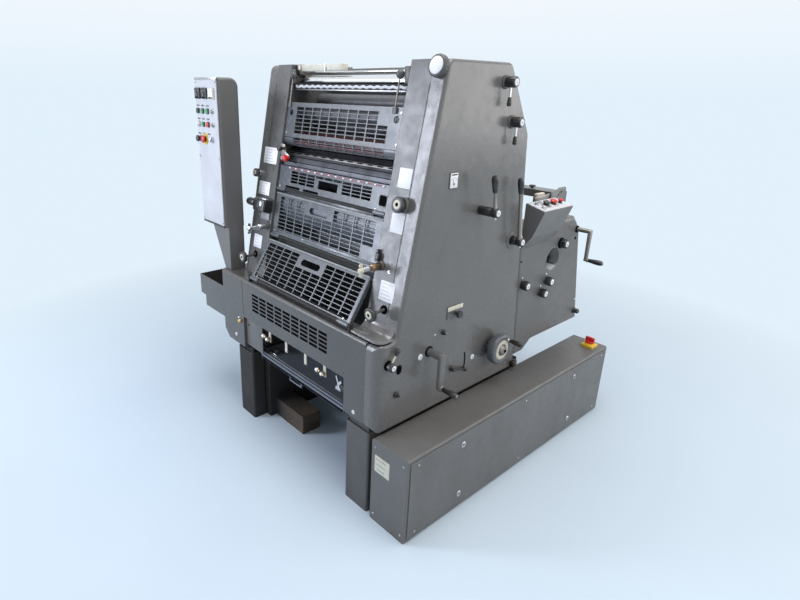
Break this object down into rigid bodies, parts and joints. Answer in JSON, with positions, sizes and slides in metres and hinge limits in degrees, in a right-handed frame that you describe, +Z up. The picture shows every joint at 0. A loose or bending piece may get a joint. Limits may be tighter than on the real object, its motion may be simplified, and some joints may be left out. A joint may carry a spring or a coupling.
{
  "type": "offset printing press",
  "caption": "Floor-standing sheet-fed offset press with leaning side covers, slotted front guards, feeder, pillar console, low switch cabinet and hand cranks.",
  "frame": {"origin": "on the floor under the middle of the whole press's box", "axes": "+X to the operator side, +Y from the delivery to the feeder, +Z up"},
  "size_m": [1.525, 1.444, 1.6621],
  "materials": {
    "grey_paint": "satin hammered enamel",
    "frame_paint": "satin enamel",
    "dark_paint": "worn matt enamel",
    "guard_paint": "satin enamel",
    "rusty_steel": "rusty",
    "board_paint": "worn satin",
    "white_panel": "satin",
    "black_plastic": "satin",
    "gloss_tray": "glossy",
    "polished_steel": "ground",
    "chrome": "polished",
    "blanket_rubber": "smooth",
    "ink_rubber": "satin",
    "dark_rubber": "satin",
    "steel": "machined",
    "yellow_plastic": "satin",
    "red_plastic": "satin"
  },
  "bodies": {
    "press_frame": {"left_side_frame": "frame_paint", "right_side_frame": "frame_paint", "left_side_cover": "grey_paint", "right_side_cover": "grey_paint", "left_feeder_panel": "grey_paint", "right_feeder_panel": "grey_paint", "front_cover": "grey_paint", "drive_cover": "grey_paint", "left_front_leg": "dark_paint", "right_front_leg": "dark_paint", "left_base_wall": "dark_paint", "right_base_wall": "dark_paint", "base_tie": "dark_paint", "base_beam": "rusty_steel", "electrical_cabinet": "grey_paint", "cabinet_door": "grey_paint", "cabinet_brackets": "dark_paint", "main_switch_base": "yellow_plastic", "console_pillar": "grey_paint", "console_face": "white_panel", "console_pedestal": "grey_paint", "console_meters": "black_plastic", "console_buttons": "black_plastic", "side_tray": "grey_paint", "ledge_pad": "gloss_tray", "water_pan": "steel", "top_tie_rod": "chrome", "inking_rollers": "dark_rubber", "top_guard": "guard_paint", "guard_hinge_rods": "chrome", "pile_rails": "dark_paint", "sheet_guides": "steel", "side_joggers": "steel", "feed_board": "frame_paint", "feeder_pile_board": "board_paint", "feeder_head": "frame_paint", "rear_cover": "grey_paint", "cross_panel": "frame_paint", "ink_fountain": "steel", "register_knobs": "black_plastic", "feeder_knobs": "black_plastic", "side_plates": "white_panel", "feeder_console": "grey_paint", "feeder_console_buttons": "black_plastic", "front_knobs": "black_plastic"},
    "plate_cylinder": {"plate_cylinder": "polished_steel"},
    "blanket_cylinder": {"blanket_cylinder": "blanket_rubber"},
    "impression_cylinder": {"impression_cylinder": "polished_steel"},
    "ink_form_roller": {"ink_form_roller": "ink_rubber"},
    "water_roller": {"water_roller": "chrome"},
    "handwheel": {"handwheel": "steel"},
    "delivery_pile_board": {"delivery_pile_board": "board_paint"},
    "delivery_crank": {"delivery_crank": "steel"},
    "feeder_crank": {"feeder_crank": "steel"},
    "press_lever": {"press_lever": "steel"},
    "air_lever": {"air_lever": "steel"},
    "delivery_guard": {"delivery_guard": "guard_paint"},
    "blanket_guard": {"blanket_guard": "guard_paint"},
    "plate_guard": {"plate_guard": "guard_paint"},
    "main_switch_knob": {"main_switch_knob": "red_plastic"}
  },
  "joints": [
    {"name": "blanket_cylinder_turn", "type": "hinge", "parent": "press_frame", "child": "blanket_cylinder", "pos_m": [0.0795, -0.45065, 1.05501], "axis": [1, 0, 0], "continuous": true},
    {"name": "plate_cylinder_turn", "type": "hinge", "parent": "press_frame", "child": "plate_cylinder", "pos_m": [0.0795, -0.41798, 1.22515], "axis": [1, 0, 0], "continuous": true},
    {"name": "impression_cylinder_turn", "type": "hinge", "parent": "press_frame", "child": "impression_cylinder", "pos_m": [0.0795, -0.3303, 0.93038], "axis": [1, 0, 0], "continuous": true},
    {"name": "ink_form_roller_turn", "type": "hinge", "parent": "press_frame", "child": "ink_form_roller", "pos_m": [0.0795, -0.43221, 1.34098], "axis": [1, 0, 0], "continuous": true},
    {"name": "water_roller_turn", "type": "hinge", "parent": "press_frame", "child": "water_roller", "pos_m": [0.0795, -0.39649, 1.58202], "axis": [1, 0, 0], "continuous": true},
    {"name": "handwheel_turn", "type": "hinge", "parent": "press_frame", "child": "handwheel", "pos_m": [0.0795, -0.048, 0.535], "axis": [1, 0, 0], "continuous": true},
    {"name": "delivery_pile_lift", "type": "slide", "parent": "press_frame", "child": "delivery_pile_board", "axis": [0, 0, 1], "range_m": [-0.26, 0.08]},
    {"name": "delivery_crank_turn", "type": "hinge", "parent": "press_frame", "child": "delivery_crank", "pos_m": [0.0795, -0.446, 0.63], "axis": [1, 0, 0], "continuous": true},
    {"name": "feeder_crank_turn", "type": "hinge", "parent": "press_frame", "child": "feeder_crank", "pos_m": [0.0795, 0.564, 0.948], "axis": [1, 0, 0], "continuous": true},
    {"name": "press_lever_swing", "type": "hinge", "parent": "press_frame", "child": "press_lever", "pos_m": [0.0795, -0.216, 1.13797], "axis": [1, 0, 0], "range_deg": [-60, 0]},
    {"name": "air_lever_swing", "type": "hinge", "parent": "press_frame", "child": "air_lever", "pos_m": [0.0795, 0.0185, 0.98504], "axis": [1, 0, 0], "range_deg": [-22, 0]},
    {"name": "delivery_guard_swing", "type": "hinge", "parent": "press_frame", "child": "delivery_guard", "pos_m": [0.0795, -0.693, 0.741], "axis": [1, 0, 0], "range_deg": [0, 80]},
    {"name": "blanket_guard_swing", "type": "hinge", "parent": "press_frame", "child": "blanket_guard", "pos_m": [0.0795, -0.5728, 0.92416], "axis": [1, 0, 0], "range_deg": [0, 70]},
    {"name": "plate_guard_swing", "type": "hinge", "parent": "press_frame", "child": "plate_guard", "pos_m": [0.0795, -0.53325, 1.13018], "axis": [1, 0, 0], "range_deg": [0, 60]},
    {"name": "main_switch_turn", "type": "hinge", "parent": "press_frame", "child": "main_switch_knob", "pos_m": [0.7005, 0.657, 0.357], "axis": [0, 0, 1], "range_deg": [0, 90]}
  ],
  "couplings": [
    {"joint": "plate_cylinder_turn", "follows": "blanket_cylinder_turn", "ratio": -1},
    {"joint": "impression_cylinder_turn", "follows": "blanket_cylinder_turn", "ratio": -1},
    {"joint": "ink_form_roller_turn", "follows": "blanket_cylinder_turn", "ratio": 2.87},
    {"joint": "water_roller_turn", "follows": "blanket_cylinder_turn", "ratio": -1.5},
    {"joint": "handwheel_turn", "follows": "blanket_cylinder_turn", "ratio": 1},
    {"joint": "delivery_crank_turn", "follows": "delivery_pile_lift", "rad_per_m": 157.08}
  ]
}
